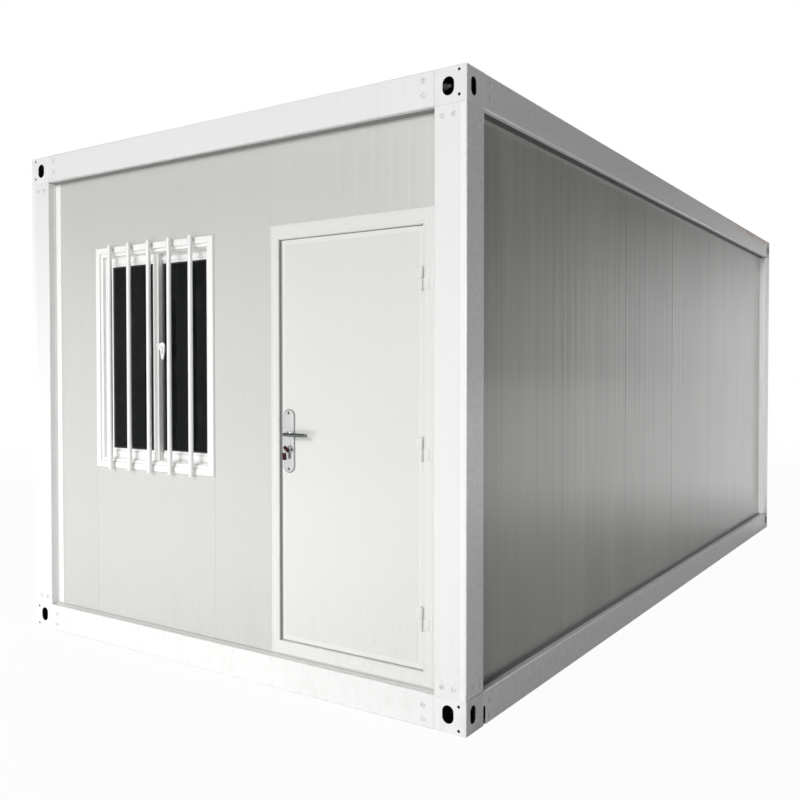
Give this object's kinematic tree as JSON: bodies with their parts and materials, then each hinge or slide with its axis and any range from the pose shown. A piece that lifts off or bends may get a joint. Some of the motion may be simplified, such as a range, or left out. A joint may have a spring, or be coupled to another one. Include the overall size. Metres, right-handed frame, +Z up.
{
  "type": "flat-pack office container",
  "caption": "Box-shaped flat-pack office cabin: steel corner-post frame, recessed ribbed wall panels, a barred sliding window and an outward door in the front gable.",
  "frame": {"origin": "centre of the footprint, at the underside of the lower corner fittings", "axes": "+Z up, +Y from the front gable to the rear gable, +X to the right when facing the front gable; the door and window are in the gable at -Y"},
  "size_m": [3, 5.95, 2.8],
  "materials": {
    "frame_steel": "white semi-gloss paint",
    "wall_panel": "light grey coated steel skin",
    "roof_sheet": "galvanised and coated",
    "inner_steel": "galvanised",
    "ceiling": "white coated boards",
    "floor": "vinyl on a cement board",
    "window_frame": "white plastic profile",
    "glass": "clear, dark from outside",
    "bars": "white gloss paint",
    "door_frame": "white paint",
    "door_leaf": "light grey paint",
    "hinges": "zinc plated",
    "lock_metal": "polished"
  },
  "bodies": {
    "container": {"post_front_left": "frame_steel", "post_front_right": "frame_steel", "post_rear_left": "frame_steel", "post_rear_right": "frame_steel", "top_fitting_front_left": "frame_steel", "top_fitting_front_right": "frame_steel", "top_fitting_rear_left": "frame_steel", "top_fitting_rear_right": "frame_steel", "base_fitting_front_left": "frame_steel", "base_fitting_front_right": "frame_steel", "base_fitting_rear_left": "frame_steel", "base_fitting_rear_right": "frame_steel", "top_beam_front": "frame_steel", "top_beam_rear": "frame_steel", "top_beam_left": "frame_steel", "top_beam_right": "frame_steel", "base_beam_front": "frame_steel", "base_beam_rear": "frame_steel", "base_beam_left": "frame_steel", "base_beam_right": "frame_steel", "roof_purlins": "inner_steel", "roof_sheet": "roof_sheet", "ceiling": "ceiling", "floor_joists": "inner_steel", "floor_board": "floor", "left_wall": "wall_panel", "right_wall": "wall_panel", "rear_wall": "wall_panel", "front_wall_left": "wall_panel", "front_wall_middle": "wall_panel", "front_wall_right": "wall_panel", "wall_below_window": "wall_panel", "wall_above_window": "wall_panel", "wall_above_door": "wall_panel", "window_frame": "window_frame", "outer_sash": "window_frame", "inner_sash": "window_frame", "window_glass": "glass", "security_bars": "bars", "door_frame": "door_frame", "frame_hinges": "hinges"},
    "door": {"door_leaf": "door_leaf", "leaf_hinges": "hinges", "lock_plates": "lock_metal"},
    "handle": {"door_handle": "lock_metal"}
  },
  "joints": [
    {"name": "door_swing", "type": "hinge", "parent": "container", "child": "door", "pos_m": [1.2525, -2.937, 0.223], "axis": [0, 0, 1], "range_deg": [0, 110]},
    {"name": "handle_turn", "type": "hinge", "parent": "door", "child": "handle", "pos_m": [0.48, -2.894, 1.228], "axis": [0, 1, 0], "range_deg": [0, 40], "stiffness_Nm_per_rad": 1.2, "springref_deg": -17.19}
  ]
}
